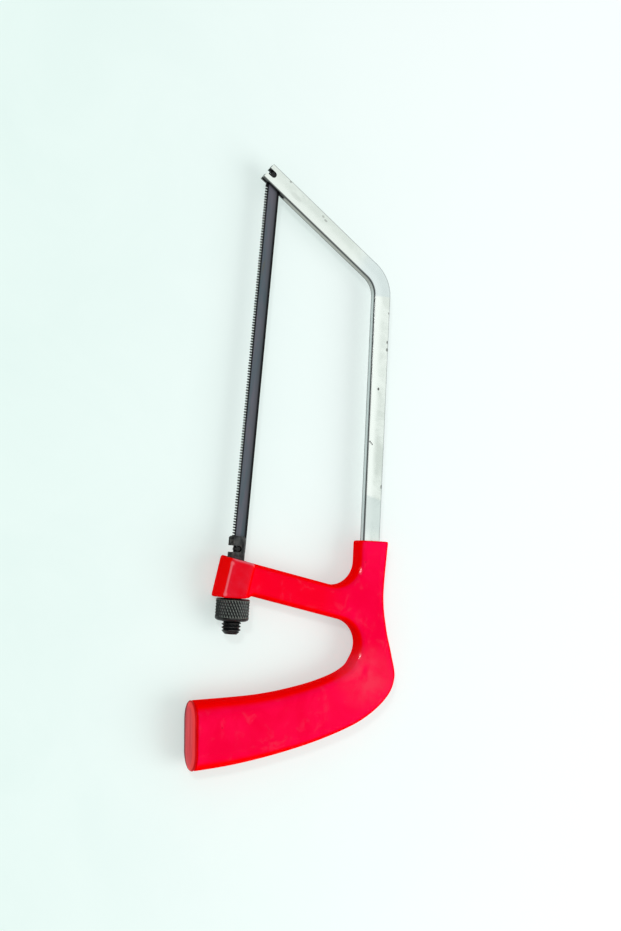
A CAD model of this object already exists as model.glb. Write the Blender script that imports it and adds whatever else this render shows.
# %% [markdown]
# A mini hacksaw lying on a pale table
#
# The solids of the saw come in first, as a fixed frame in metres. Every piece made below goes over one of
# them and moves with the body that carries it. You could start from an empty scene and place things by eye,
# but then nothing would line up when the nut is turned and the blade goes slack.

# %% Load the solids
import math

import bmesh
import bpy
import numpy as np
from mathutils import Matrix, Vector


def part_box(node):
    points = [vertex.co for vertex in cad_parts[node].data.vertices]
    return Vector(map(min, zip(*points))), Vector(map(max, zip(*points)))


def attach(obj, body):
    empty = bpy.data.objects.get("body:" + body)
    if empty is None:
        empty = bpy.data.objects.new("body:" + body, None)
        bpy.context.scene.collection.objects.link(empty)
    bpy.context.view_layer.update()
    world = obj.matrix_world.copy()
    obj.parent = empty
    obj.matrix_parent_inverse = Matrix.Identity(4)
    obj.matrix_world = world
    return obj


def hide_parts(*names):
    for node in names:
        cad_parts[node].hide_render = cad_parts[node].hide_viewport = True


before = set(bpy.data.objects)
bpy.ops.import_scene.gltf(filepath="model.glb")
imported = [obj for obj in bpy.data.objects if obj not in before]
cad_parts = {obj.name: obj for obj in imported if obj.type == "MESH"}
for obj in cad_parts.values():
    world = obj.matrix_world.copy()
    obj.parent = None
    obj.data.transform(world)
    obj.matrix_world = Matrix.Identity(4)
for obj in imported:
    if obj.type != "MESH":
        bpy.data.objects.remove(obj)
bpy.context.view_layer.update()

print("solids:", sorted(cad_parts))

# %% [markdown]
# One drawing for all the pieces
#
# A maker draws this saw from the rear blade pin: X along the rod to the tip, Y towards the teeth, Z up out
# of the blade's plane, in millimetres. Blender works in metres, so one small function turns a drawing point
# into a place in the scene. The solid of the rear pin says where the drawing starts.

# %% From drawing to scene
MILLIMETRE = 0.001
pin_low, pin_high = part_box("rear_blade_pin")
drawing_start = (pin_low + pin_high) / 2


def at(x, y, z=0.0):
    """Place in the scene of a drawing point in millimetres."""
    return drawing_start + Vector((x, y, z)) * MILLIMETRE


print("drawing starts at", [round(value, 5) for value in drawing_start])

# %% [markdown]
# Small workshop helpers
#
# Each piece is a list of points and a list of faces, made into a mesh. Modifiers such as Remesh, Bevel and
# Boolean then do the hard work, and the result is kept as plain mesh so that it exports as it looks. You
# could leave the modifiers live, but the cutters would have to stay in the scene too.


# %% Make, settle and fix a piece
def make_piece(name, points, faces):
    """Mesh object from drawing points in millimetres."""
    mesh = bpy.data.meshes.new(name)
    mesh.from_pydata([at(*point) for point in points], [], faces)
    piece = bpy.data.objects.new(name, mesh)
    bpy.context.scene.collection.objects.link(piece)
    return piece


def settle(piece):
    """Keep what the modifiers show as plain mesh."""
    shown = piece.evaluated_get(bpy.context.evaluated_depsgraph_get())
    mesh = bpy.data.meshes.new_from_object(shown)
    piece.modifiers.clear()
    piece.data = mesh


def cut(piece, *cutters):
    """Cut each cutter out of the piece, then put the cutter away."""
    for cutter in cutters:
        modifier = piece.modifiers.new("cut", "BOOLEAN")
        modifier.operation = "DIFFERENCE"
        modifier.solver = "EXACT"
        modifier.object = cutter
        settle(piece)
        bpy.data.objects.remove(cutter)


def shade(piece, crease_degrees):
    """Smooth shading, with a crisp line wherever faces meet at more than the given angle."""
    piece.data.shade_smooth()
    piece.data.set_sharp_from_angle(angle=math.radians(crease_degrees))


def fix(piece, body, node, material):
    """Ride on a body in place of a solid, with its finish."""
    piece.data.materials.clear()
    piece.data.materials.append(material)
    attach(piece, body)
    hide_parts(node)
    print(piece.name, "has", len(piece.data.polygons), "faces and rides on", body)


# %% [markdown]
# Rings make most of the saw
#
# A turned rod, a nut, a cap and a bar are all a row of rings with a skin between them and a lid at each
# end. Blender's Spin and Screw tools make such shapes too. Writing the rings out gives control over every
# radius, which the thread and the knurl need.


# %% Skin a row of rings
def skin_rings(rings):
    """Points and faces of a closed skin over rings of equal length, lids included."""
    count = len(rings[0])
    points = [point for ring in rings for point in ring]
    faces = [list(range(count))[::-1]]
    for start in range(0, len(points) - count, count):
        for i in range(count):
            beside = (i + 1) % count
            faces.append([start + i, start + beside, start + count + beside, start + count + i])
    faces.append([len(points) - count + i for i in range(count)])
    return points, faces


def full_turn(steps):
    """Angles of one full turn in equal steps."""
    return [2 * math.pi * k / steps for k in range(steps)]


def turned_rings(centre, profile, sides):
    """Rings round an upright axis, from a profile of heights and radii."""
    turns = full_turn(sides)
    return [[(centre[0] + radius * math.cos(t), centre[1] + radius * math.sin(t), z) for t in turns]
            for z, radius in profile]


def box_cutter(name, low, high, turn=0.0, pivot=(0.0, 0.0)):
    """Plain block to cut with, turned in the blade's plane about a pivot."""
    corners = [(x, y, z) for z in (low[2], high[2])
               for x, y in ((low[0], low[1]), (high[0], low[1]), (high[0], high[1]), (low[0], high[1]))]
    cos, sin = math.cos(turn), math.sin(turn)
    turned = [(pivot[0] + x * cos - y * sin, pivot[1] + x * sin + y * cos, z) for x, y, z in corners]
    return make_piece(name, *skin_rings([turned[:4], turned[4:]]))


CUTTER_SIDES = 32


def round_cutter(name, centre, radius, low, high):
    """Round bar to cut with, along Z."""
    return make_piece(name, *skin_rings(turned_rings(centre, ((low, radius), (high, radius)), CUTTER_SIDES)))


# %% [markdown]
# Shared effects as node groups
#
# Worn plating, oily smears and moulded plastic all need the same few patterns: cloudy blotches, fine grain,
# small specks and rubbed edges. Copying the nodes into every material would work, but a change would have
# to be made many times. A node group is built once and placed wherever it is needed, with its own values.


# %% Helpers for node trees
def feed(tree, socket, value):
    """Link an output to a socket, or set the socket to a plain value."""
    if isinstance(value, bpy.types.NodeSocket):
        tree.links.new(value, socket)
    else:
        socket.default_value = value


def add_node(tree, kind, settings=None, **sockets):
    """Add a node, set its properties, and fill or link its named inputs."""
    node = tree.nodes.new(kind)
    for name, value in (settings or {}).items():
        setattr(node, name, value)
    for name, value in sockets.items():
        feed(tree, node.inputs[name.replace("_", " ")], value)
    return node


def operate(tree, kind, operation, *values):
    """Outputs of a node that works on its inputs in their order, plain ones or outputs of other nodes."""
    node = add_node(tree, kind, {"operation": operation})
    for socket, value in zip(node.inputs, values):
        feed(tree, socket, value)
    return node.outputs


def calculate(tree, operation, *values):
    """Math node over numbers or outputs."""
    return operate(tree, "ShaderNodeMath", operation, *values)["Value"]


def ramp(tree, value, low, high, to_low=0.0, to_high=1.0):
    """Smooth step of a value from one range to another."""
    node = add_node(tree, "ShaderNodeMapRange", {"interpolation_type": "SMOOTHSTEP"}, Value=value,
                    From_Min=low, From_Max=high, To_Min=to_low, To_Max=to_high)
    return node.outputs["Result"]


# %% Helpers for colours
def blend_colour(tree, share, first, second):
    """Colour between two others; each may be a colour or an output."""
    node = add_node(tree, "ShaderNodeMix", {"data_type": "RGBA"})
    sockets = {socket.identifier: socket for socket in node.inputs}
    for name, value in (("Factor_Float", share), ("A_Color", first), ("B_Color", second)):
        feed(tree, sockets[name], (*value, 1.0) if isinstance(value, tuple) else value)
    return next(socket for socket in node.outputs if socket.identifier == "Result_Color")


def stain(tree, colour, mask, towards, strength=1.0):
    """Colour that goes towards another where the mask says, by the strength at most."""
    share = calculate(tree, "MULTIPLY", mask, strength) if strength < 1.0 else mask
    return blend_colour(tree, share, colour, towards)


# %% Helpers for node groups
def start_group(name, inputs, outputs):
    """Empty shader group with its sockets."""
    group = bpy.data.node_groups.new(name, "ShaderNodeTree")
    for label, kind, value in inputs:
        socket = group.interface.new_socket(name=label, in_out="INPUT", socket_type=kind)
        if value is not None:
            socket.default_value = value
    for label, kind in outputs:
        group.interface.new_socket(name=label, in_out="OUTPUT", socket_type=kind)
    return group, group.nodes.new("NodeGroupInput").outputs, group.nodes.new("NodeGroupOutput").inputs


def use_group(tree, group, **sockets):
    """Place a group in a tree and fill its inputs."""
    return add_node(tree, "ShaderNodeGroup", {"node_tree": group}, **sockets).outputs


# %% Cloudy blotches and fine grain
FLOAT, VECTOR = "NodeSocketFloat", "NodeSocketVector"
blotches, given, result = start_group(
    "cloudy_blotches",
    [("Place", VECTOR, None), ("Scale", FLOAT, 60.0), ("Low", FLOAT, 0.4), ("High", FLOAT, 0.65)],
    [("Mask", FLOAT)],
)
cloud = add_node(blotches, "ShaderNodeTexNoise", Vector=given["Place"], Scale=given["Scale"], Detail=5.0,
                 Roughness=0.62, Distortion=0.6)
blotches.links.new(ramp(blotches, cloud.outputs["Fac"], given["Low"], given["High"]), result["Mask"])

grain, given, result = start_group(
    "fine_grain",
    [("Place", VECTOR, None), ("Scale", FLOAT, 2500.0), ("Base Roughness", FLOAT, 0.3),
     ("Spread", FLOAT, 0.1)],
    [("Height", FLOAT), ("Roughness", FLOAT)],
)
fine = add_node(grain, "ShaderNodeTexNoise", Vector=given["Place"], Scale=given["Scale"], Detail=3.0)
coarse_scale = calculate(grain, "MULTIPLY", given["Scale"], 0.06)
coarse = add_node(grain, "ShaderNodeTexNoise", Vector=given["Place"], Scale=coarse_scale, Detail=4.0)
centred = calculate(grain, "SUBTRACT", coarse.outputs["Fac"], 0.5)
swing = calculate(grain, "MULTIPLY", centred, given["Spread"])
rough = calculate(grain, "ADD", swing, given["Base Roughness"])
grain.links.new(fine.outputs["Fac"], result["Height"])
grain.links.new(rough, result["Roughness"])
print("groups:", blotches.name, grain.name)

# %% Specks and rubbed edges
specks, given, result = start_group(
    "small_specks",
    [("Place", VECTOR, None), ("Scale", FLOAT, 180.0), ("Size", FLOAT, 0.12), ("Share", FLOAT, 0.2)],
    [("Mask", FLOAT)],
)
cells = add_node(specks, "ShaderNodeTexVoronoi", Vector=given["Place"], Scale=given["Scale"])
small = calculate(specks, "LESS_THAN", cells.outputs["Distance"], given["Size"])
draw = add_node(specks, "ShaderNodeSeparateColor", Color=cells.outputs["Color"])
chosen = calculate(specks, "LESS_THAN", draw.outputs["Red"], given["Share"])
specks.links.new(calculate(specks, "MULTIPLY", small, chosen), result["Mask"])

rubbed, given, result = start_group(
    "rubbed_edges",
    [("Place", VECTOR, None), ("Start", FLOAT, 0.53), ("End", FLOAT, 0.62), ("Scale", FLOAT, 400.0)],
    [("Mask", FLOAT)],
)
shape = rubbed.nodes.new("ShaderNodeNewGeometry")
sharp = add_node(rubbed, "ShaderNodeMapRange", Value=shape.outputs["Pointiness"], From_Min=given["Start"],
                 From_Max=given["End"])
patchy = add_node(rubbed, "ShaderNodeTexNoise", Vector=given["Place"], Scale=given["Scale"], Detail=3.0)
broken = ramp(rubbed, patchy.outputs["Fac"], 0.42, 0.6)
rubbed.links.new(calculate(rubbed, "MULTIPLY", sharp.outputs["Result"], broken), result["Mask"])
print("groups:", specks.name, rubbed.name)


# %% Start a material
def start_material(name, **sockets):
    """Material with a Principled shader, its plain numbers, and the object's own coordinates."""
    material = bpy.data.materials.new(name)
    material.use_nodes = True
    tree = material.node_tree
    shader = tree.nodes["Principled BSDF"]
    for label, value in sockets.items():
        shader.inputs[label.replace("_", " ")].default_value = value
    place = tree.nodes.new("ShaderNodeTexCoord").outputs["Object"]
    return material, tree, shader, place


def facing_up(tree):
    """How far the surface faces up: 1 on top, 0 on a side and -1 below."""
    normal = tree.nodes["Texture Coordinate"].outputs["Normal"]
    return add_node(tree, "ShaderNodeSeparateXYZ", Vector=normal).outputs["Z"]


def link_surface(tree, shader, colour, roughness, height, strength, depth):
    """Colour and roughness from outputs, and a small relief from a height; depth is in metres."""
    bump = add_node(tree, "ShaderNodeBump", Height=height, Strength=strength, Distance=depth)
    tree.links.new(colour, shader.inputs["Base Color"])
    tree.links.new(roughness, shader.inputs["Roughness"])
    tree.links.new(bump.outputs["Normal"], shader.inputs["Normal"])


# %% [markdown]
# The bar's line
#
# The frame is one flat steel bar, bent once near the front. Its middle line runs out of the handle's neck
# almost along X, turns through the bend and comes back down to the front blade pin. A Blender curve with a
# bevel could carry the section, but a list of stations is easier to mark with distances, which the
# plating's smudges need.

# %% Lines of the drawing
PIN_SPAN, BLADE_LEAN = 146.0, math.radians(1.45)
BAR_OFFSET, BAR_LEAN, SLANT = 55.3, math.radians(1.2), math.radians(54.7)
NECK_TOP, TANG_LENGTH, TIP_REACH, BEND_RADIUS = 7.0, 30.0, 2.5, 12.5


def unit(angle):
    """Direction in the drawing at an angle from X."""
    return np.array((math.cos(angle), math.sin(angle)))


def left_of(direction):
    """Direction a quarter turn to the left of another."""
    return np.array((-direction[1], direction[0]))


def crossing(point_a, along_a, point_b, along_b):
    """Where two lines of the drawing cross."""
    share = np.linalg.solve(np.column_stack((along_a, -along_b)), point_b - point_a)[0]
    return point_a + along_a * share


bar_along, slant_along = unit(BAR_LEAN), unit(SLANT)
bar_left, slant_left = left_of(bar_along), left_of(slant_along)
front_pin = PIN_SPAN * unit(-BLADE_LEAN)
neck_mouth = np.array((NECK_TOP, -BAR_OFFSET))
bend_corner = crossing(neck_mouth, bar_along, front_pin, slant_along)
bend_tangent = BEND_RADIUS * math.tan((SLANT - BAR_LEAN) / 2)
bend_start = bend_corner - bar_along * bend_tangent
bend_end = bend_corner + slant_along * bend_tangent
bend_centre = bend_start + bar_left * BEND_RADIUS
tail_end = neck_mouth - bar_along * TANG_LENGTH
tip_end = front_pin + slant_along * TIP_REACH
print("front pin", front_pin.round(2), "bend corner", bend_corner.round(2))

# %% [markdown]
# The bar itself
#
# A rounded rectangle is carried along the line. Hand-bent flat bar is never quite flat, so the broad faces
# get a waviness of a few hundredths of a millimetre, which is what makes its shine look like metal. The
# slit for the blade and the notch for the pin are then cut into the tip, as a slitting saw would do it.

# %% Shape the bar
BAR_WIDTH, BAR_THICKNESS, BAR_EDGE = 7.0, 4.0, 0.55
SLIT_WIDTH, SLIT_DEPTH, NOTCH_HALF = 1.15, 11.4, 1.25
STATION_STEP, BEND_STEPS, CORNER_STEPS = 1.5, 24, 4
# Depth of the waviness, and two waves: share, turn for each station and turn for each millimetre across
WAVE, WAVES = 0.03, ((1.0, 0.21, 0.5), (0.6, 0.083, -0.9))


def bar_stations():
    """Middle points of the bar and the direction at each."""
    stations = []
    for start, end, direction in ((tail_end, bend_start, bar_along), (bend_end, tip_end, slant_along)):
        steps = round(np.linalg.norm(end - start) / STATION_STEP)
        stations.append([(start + (end - start) * k / steps, direction) for k in range(steps + 1)])
    turns = [BAR_LEAN + (SLANT - BAR_LEAN) * k / BEND_STEPS for k in range(1, BEND_STEPS)]
    bend = [(bend_centre - left_of(unit(turn)) * BEND_RADIUS, unit(turn)) for turn in turns]
    return stations[0] + bend + stations[1]


def rounded_section(straight, corner, steps):
    """Section with round corners, from half its straight runs and its corner radii, across and up."""
    section = []
    for quarter, (across, up) in enumerate(((1, 1), (-1, 1), (-1, -1), (1, -1))):
        for k in range(steps + 1):
            turn = (quarter + k / steps) * math.pi / 2
            section.append((across * straight[0] + corner[0] * math.cos(turn),
                            up * straight[1] + corner[1] * math.sin(turn)))
    return section


def bar_ring(index, point, direction):
    """One section of the bar, with its broad faces a little lower in some places, as on a bent bar."""
    sway = left_of(direction)
    straight = (BAR_WIDTH / 2 - BAR_EDGE, BAR_THICKNESS / 2 - BAR_EDGE)
    ring = []
    for across, up in rounded_section(straight, (BAR_EDGE, BAR_EDGE), CORNER_STEPS):
        wave = sum(share * math.sin(by_station * index + by_width * across)
                   for share, by_station, by_width in WAVES)
        sunk = WAVE * (abs(wave) - sum(share for share, _, _ in WAVES))
        x, y = point + sway * across
        ring.append((x, y, up + math.copysign(1.0, up) * sunk))
    return ring


bar = make_piece("frame_bar_plated", *skin_rings([
    bar_ring(index, *station) for index, station in enumerate(bar_stations())
]))
slit = box_cutter("slit_cutter", (TIP_REACH - SLIT_DEPTH, -BAR_WIDTH, -SLIT_WIDTH / 2),
                  (BAR_WIDTH, BAR_WIDTH, SLIT_WIDTH / 2), SLANT, front_pin)
notch = box_cutter("notch_cutter", (0, -NOTCH_HALF, -BAR_THICKNESS),
                   (BAR_WIDTH, NOTCH_HALF, BAR_THICKNESS), SLANT, front_pin)
notch_end = round_cutter("notch_end_cutter", front_pin, NOTCH_HALF, -BAR_THICKNESS, BAR_THICKNESS)
cut(bar, slit, notch, notch_end)
shade(bar, crease_degrees=40)
print("bar has", len(bar.data.polygons), "faces")

# %% [markdown]
# Distances along and across the bar
#
# The plating is cleaner near the blade side and greyer towards the outer edge, the bend has a blue bloom,
# and the last stretch before the handle is dull. To place those, each point of the mesh remembers how far
# it lies along the bar and across it. Painting by hand would do the same, but it could not be repeated.


# %% Mark the bar with its distances
def bar_place(x, y):
    """Distance along the bar from the neck's mouth, and across it towards the blade."""
    point = np.array((x, y))
    to_bend = float((bend_start - neck_mouth) @ bar_along)
    along = float((point - neck_mouth) @ bar_along)
    if along < to_bend:
        return along, float((point - neck_mouth) @ bar_left)
    from_end = float((point - bend_end) @ slant_along)
    bend_length = BEND_RADIUS * (SLANT - BAR_LEAN)
    if from_end > 0:
        return to_bend + bend_length + from_end, float((point - bend_end) @ slant_left)
    spoke = point - bend_centre
    turn = math.atan2(spoke[1], spoke[0]) + math.pi / 2 - BAR_LEAN
    return to_bend + BEND_RADIUS * turn, BEND_RADIUS - float(np.linalg.norm(spoke))


def mark(piece, rule, names):
    """Store numbers on every point of a piece, worked out from its drawing place."""
    values = []
    for vertex in piece.data.vertices:
        place = (vertex.co - drawing_start) / MILLIMETRE
        values.append(rule(*place))
    for name, column in zip(names, zip(*values)):
        layer = piece.data.attributes.new(name, "FLOAT", "POINT")
        layer.data.foreach_set("value", np.array(column, np.float32))


ROLLED_BAND, SLIT_MARGIN = 0.95 * BAR_EDGE, 1.0
bar_end = bar_place(*tip_end)[0]
slit_foot = bar_end - SLIT_DEPTH


def bar_marks(x, y, z):
    """Distances of a bar point, and whether it belongs to a rounded edge or to the blade's slit."""
    along, across = bar_place(x, y)
    rolled = abs(across) > BAR_WIDTH / 2 - ROLLED_BAND and abs(z) > BAR_THICKNESS / 2 - ROLLED_BAND
    in_slit = abs(z) < SLIT_WIDTH and along > slit_foot - SLIT_MARGIN
    return along, across, float(rolled), float(in_slit)


mark(bar, bar_marks, ("along", "across", "rolled_edge", "in_slit"))
bend_at = bar_place(*bend_start)[0]
print("bend starts", round(bend_at, 1), "mm along the bar, which ends at", round(bar_end, 1))

# %% [markdown]
# Bright plating
#
# Zinc-bright steel is a mirror that has been handled: it shows the room, softened, with cloudy finger
# smears and a few dark specks where the plating has gone. The smears change its colour, and a finer pattern
# changes its roughness. A picture of real plating would be quicker to set up, but patterns made by nodes
# stay sharp at any distance.

# %% Plated finish
GREY_ACROSS, GREY_ALONG = (1.8, -0.8), (45.0, 75.0)
BLOOM_STARTS, BLOOM_ENDS, GREYER_ALONG = (-0.6, 0.4), (22.0, 13.0), (14.0, 24.0)
DULL_SLOPE, DULL_ENDS, DULL_GROWS = -0.3, (17.8, 16.4), (0.5, 6.0)


def attribute(tree, name):
    """Number stored on the points of a piece."""
    return add_node(tree, "ShaderNodeAttribute", {"attribute_name": name}).outputs["Fac"]


def past_bend(distances):
    """Distances along the bar, from distances past the start of its bend."""
    return [bend_at + distance for distance in distances]


plated, tree, shader, place = start_material("bright_plating", Metallic=1.0)
along, across = attribute(tree, "along"), attribute(tree, "across")
smear = use_group(tree, blotches, Place=place, Scale=85.0, Low=0.4, High=0.62)["Mask"]
less_grey = ramp(tree, along, *GREY_ALONG, 1.0, 0.55)
outer_side = calculate(tree, "MULTIPLY", ramp(tree, across, *GREY_ACROSS), less_grey)
patchy_side = calculate(tree, "MULTIPLY", smear, outer_side)
colour = blend_colour(tree, outer_side, (0.93, 0.98, 0.935), (0.83, 0.89, 0.84))
colour = stain(tree, colour, patchy_side, (0.67, 0.73, 0.68))
bloom_in = ramp(tree, along, *past_bend(BLOOM_STARTS))
bloom_out = ramp(tree, along, *past_bend(BLOOM_ENDS))
bloom = calculate(tree, "MULTIPLY", bloom_in, bloom_out)
colour = stain(tree, colour, bloom, (0.66, 0.75, 0.77), strength=0.6)
greyer = ramp(tree, along, *past_bend(GREYER_ALONG), 0.0, 0.3)
colour = stain(tree, colour, greyer, (0.64, 0.7, 0.65))
slanting = calculate(tree, "MULTIPLY_ADD", across, DULL_SLOPE, along)
dull_growth = ramp(tree, along, *DULL_GROWS, 0.25, 0.6)
dull = calculate(tree, "MULTIPLY", ramp(tree, slanting, *DULL_ENDS), dull_growth)
colour = stain(tree, colour, dull, (0.6, 0.69, 0.68))
spot = use_group(tree, specks, Place=place, Scale=120.0, Size=0.06, Share=0.08)["Mask"]
colour = stain(tree, colour, spot, (0.2, 0.2, 0.19), strength=0.5)
print("dull plating ends", DULL_ENDS[0], "mm from the neck")

# %% [markdown]
# Nicks in the plating
#
# A saw that has hung in a workshop has a few honest marks: a dark speck or two, a short scratch and small
# nicks along the outer edge. Each is a soft ellipse, placed by its distances along and across the bar. A
# random pattern alone would never put them where the eye expects them.

# %% Nicks and a scratch
BAR_MARKS = (
    ((60.4, 0.1), (0.75, 0.55), 0.9), ((39.2, 2.7), (0.5, 0.4), 0.9), ((38.7, 2.2), (0.45, 0.35), 0.9),
    ((38.2, 1.7), (0.45, 0.35), 0.9), ((79.4, -2.85), (0.8, 0.5), 0.7), ((76.4, -2.9), (0.9, 0.55), 0.75),
    ((91.1, -3.0), (0.6, 0.35), 0.6), ((21.6, -3.0), (1.1, 0.45), 0.7), ((136.4, -1.3), (1.0, 0.55), 0.35),
    ((138.2, -1.8), (0.8, 0.6), 0.3), ((156.8, -2.8), (0.7, 0.45), 0.5), ((151.5, 0.2), (3.5, 1.3), 0.1),
)


def ellipse_mask(tree, where, centre, reach):
    """1 in the middle of a soft ellipse and 0 outside it."""
    away = operate(tree, "ShaderNodeVectorMath", "SUBTRACT", where, (*centre, 0.0))["Vector"]
    scaled = operate(tree, "ShaderNodeVectorMath", "DIVIDE", away, (*reach, 1.0))["Vector"]
    length = operate(tree, "ShaderNodeVectorMath", "LENGTH", scaled)["Value"]
    return ramp(tree, length, 1.0, 0.5)


where = add_node(tree, "ShaderNodeCombineXYZ", X=along, Y=across).outputs["Vector"]
level = add_node(tree, "ShaderNodeSeparateXYZ", Vector=place).outputs["Z"]
height = calculate(tree, "MULTIPLY_ADD", level, 1 / MILLIMETRE, -drawing_start.z / MILLIMETRE)
up_face = ramp(tree, height, 0.0, 1.0)
for centre, reach, strength in BAR_MARKS:
    nick = calculate(tree, "MULTIPLY", ellipse_mask(tree, where, centre, reach), up_face)
    colour = stain(tree, colour, nick, (0.06, 0.055, 0.05), strength)
print("marks on the bar:", len(BAR_MARKS))

# %% [markdown]
# The bar's sides and slit
#
# The rolled sides are duller than the broad faces. Grime gathers along their two rims, which draws a dark,
# a pale and a dark line down the inner side. Plating never reaches into a narrow slit, so the slit, the
# notch and the inner side next to them are black. Each is picked out by its distances and by the way that
# its surface faces. Giving those faces a second material would work as well, but with a hard border.

# %% Darker sides of the bar
SIDE_STARTS, SIDE_FULL, SIDE_GREYS, RIM_GRIME = 3.3, 3.48, (-4.0, 12.0), (0.8, 1.3)
NOTCH_STARTS, NOTCH_SIDES, BARE_STEEL = (2.0, 1.5), (0.25, 0.1), (0.006, 0.006, 0.007)
off_middle = calculate(tree, "ABSOLUTE", across)
side_face = ramp(tree, off_middle, SIDE_STARTS, SIDE_FULL)
slant_share = ramp(tree, along, *past_bend(SIDE_GREYS))
side_middle = blend_colour(tree, slant_share, (0.6, 0.65, 0.65), (0.36, 0.345, 0.31))
grimy_rims = ramp(tree, calculate(tree, "ABSOLUTE", height), *RIM_GRIME)
side_colour = stain(tree, side_middle, grimy_rims, (0.025, 0.027, 0.028))
slit_start = ramp(tree, along, slit_foot - SLIT_MARGIN, slit_foot + SLIT_MARGIN)
inner_half = ramp(tree, across, -SLIT_MARGIN, SLIT_MARGIN)
inner_tip = calculate(tree, "MULTIPLY", slit_start, inner_half)
side_colour = stain(tree, side_colour, inner_tip, (0.008, 0.008, 0.009))
colour = stain(tree, colour, side_face, side_colour, strength=0.9)
inner_edge = ramp(tree, across, -SIDE_STARTS, SIDE_STARTS, 0.45, 0.85)
edge_line = calculate(tree, "MULTIPLY", attribute(tree, "rolled_edge"), inner_edge)
colour = stain(tree, colour, edge_line, (0.06, 0.062, 0.065))
colour = stain(tree, colour, attribute(tree, "in_slit"), BARE_STEEL)
upright = calculate(tree, "ABSOLUTE", facing_up(tree))
at_notch = ramp(tree, along, *[bar_end - TIP_REACH - distance for distance in NOTCH_STARTS])
notch_wall = calculate(tree, "MULTIPLY", ramp(tree, upright, 0.6, 0.3), at_notch)
inside = ramp(tree, off_middle, *[NOTCH_HALF + distance for distance in NOTCH_SIDES])
notch_wall = calculate(tree, "MULTIPLY", notch_wall, inside)
colour = stain(tree, colour, notch_wall, BARE_STEEL)
texture = use_group(tree, grain, Place=place, Scale=1800.0, Base_Roughness=0.26, Spread=0.24)
link_surface(tree, shader, colour, texture["Roughness"], texture["Height"], strength=0.06, depth=0.00004)
fix(bar, "frame", "frame_bar", plated)

# %% [markdown]
# The blade
#
# A mini blade is a thin strip with two dozen teeth to the inch on one edge. The teeth lean to one side and
# the other in waves, so that the cut is wider than the strip. An array modifier could repeat one tooth, but
# the wave would then need a second deformer. Here one loop draws every tooth, and the wave is added point
# by point.

# %% Shape the blade
BLADE_WIDTH, BLADE_THICKNESS, BLADE_OVERHANG, BLADE_CORNER = 5.7, 0.65, 2.2, 1.2
BLADE_SETBACK, PIN_RADIUS, PIN_PLAY = 0.6, 1.05, 0.1
TOOTH_PITCH, TOOTH_DEPTH, TOOTH_START = 25.4 / 24, 0.95, 4.2
SET_WAVE, SET_TEETH = 0.12, 8
TOOTH_PROFILE = ((0.0, 0.04), (0.08, 0.0), (0.25, 0.0), (0.36, 0.1), (0.48, 0.8), (0.58, 0.97), (0.97, 1.0))

teeth = math.floor((PIN_SPAN - 2 * TOOTH_START) / TOOTH_PITCH)
first_tooth = (PIN_SPAN - teeth * TOOTH_PITCH) / 2


def blade_edge():
    """Toothed edge from the rear end to the tip, as distance along and share of a tooth's height."""
    points = []
    for tooth in range(teeth):
        for share, height in TOOTH_PROFILE:
            points.append((first_tooth + (tooth + share) * TOOTH_PITCH, height))
    return points


back_edge = -BLADE_WIDTH / 2 - BLADE_SETBACK
tooth_tips = back_edge + BLADE_WIDTH
tooth_roots = tooth_tips - TOOTH_DEPTH


def blade_outline():
    """Closed outline of the blade before it is leaned, with plain ends at the height of the tooth roots."""
    low, high, corner = -BLADE_OVERHANG, PIN_SPAN + BLADE_OVERHANG, BLADE_CORNER
    toothed = [(x, tooth_roots + height * TOOTH_DEPTH) for x, height in blade_edge()]
    start = [(low, tooth_roots - corner), (low, back_edge + corner), (low + corner, back_edge)]
    end = [(high - corner, back_edge), (high, back_edge + corner), (high, tooth_roots - corner),
           (high - corner, tooth_roots)]
    return start + end + toothed[::-1] + [(low + corner, tooth_roots)]


def blade_ring(side):
    """Outline at one face of the blade, leaned, with the wave of the set on the teeth."""
    cos, sin = math.cos(BLADE_LEAN), math.sin(BLADE_LEAN)
    ring = []
    for x, y in blade_outline():
        tooth = (x - first_tooth) / TOOTH_PITCH
        lift = max(0.0, (y - tooth_roots) / TOOTH_DEPTH) if 0 < tooth < teeth else 0.0
        wave = SET_WAVE * lift * math.sin(2 * math.pi * tooth / SET_TEETH)
        ring.append((x * cos + y * sin, y * cos - x * sin, side * BLADE_THICKNESS / 2 + wave))
    return ring


blade = make_piece("blade_toothed", *skin_rings([blade_ring(-1), blade_ring(1)]))
hole_radius = PIN_RADIUS + PIN_PLAY
for centre in ((0, 0), front_pin):
    cut(blade, round_cutter("pin_hole_cutter", centre, hole_radius, -BLADE_THICKNESS, BLADE_THICKNESS))
shade(blade, crease_degrees=20)
print("teeth:", teeth)

# %% [markdown]
# Blued steel
#
# The strip is hardened steel, blue-grey with faint purple and brown heat tints that drift along it. The
# tints are two slow patterns, stretched along the blade. The back edge and the two ends stay dark from the
# hardening bath, and so do the teeth, so the points remember how far they are from the back and from the
# rear pin.

# %% Blade finish
BACK_BAND, BAND_BLUR, DARK_END, END_BLUR, GULLET_SHADE = 0.95, 0.35, 3.2, 0.8, (0.6, 0.1)
gullets = BLADE_WIDTH - TOOTH_DEPTH


def blade_place(x, y, z):
    """Distance of a blade point from the back edge and along it from the rear pin."""
    cos, sin = math.cos(BLADE_LEAN), math.sin(BLADE_LEAN)
    return x * sin + y * cos - back_edge, x * cos - y * sin


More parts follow.
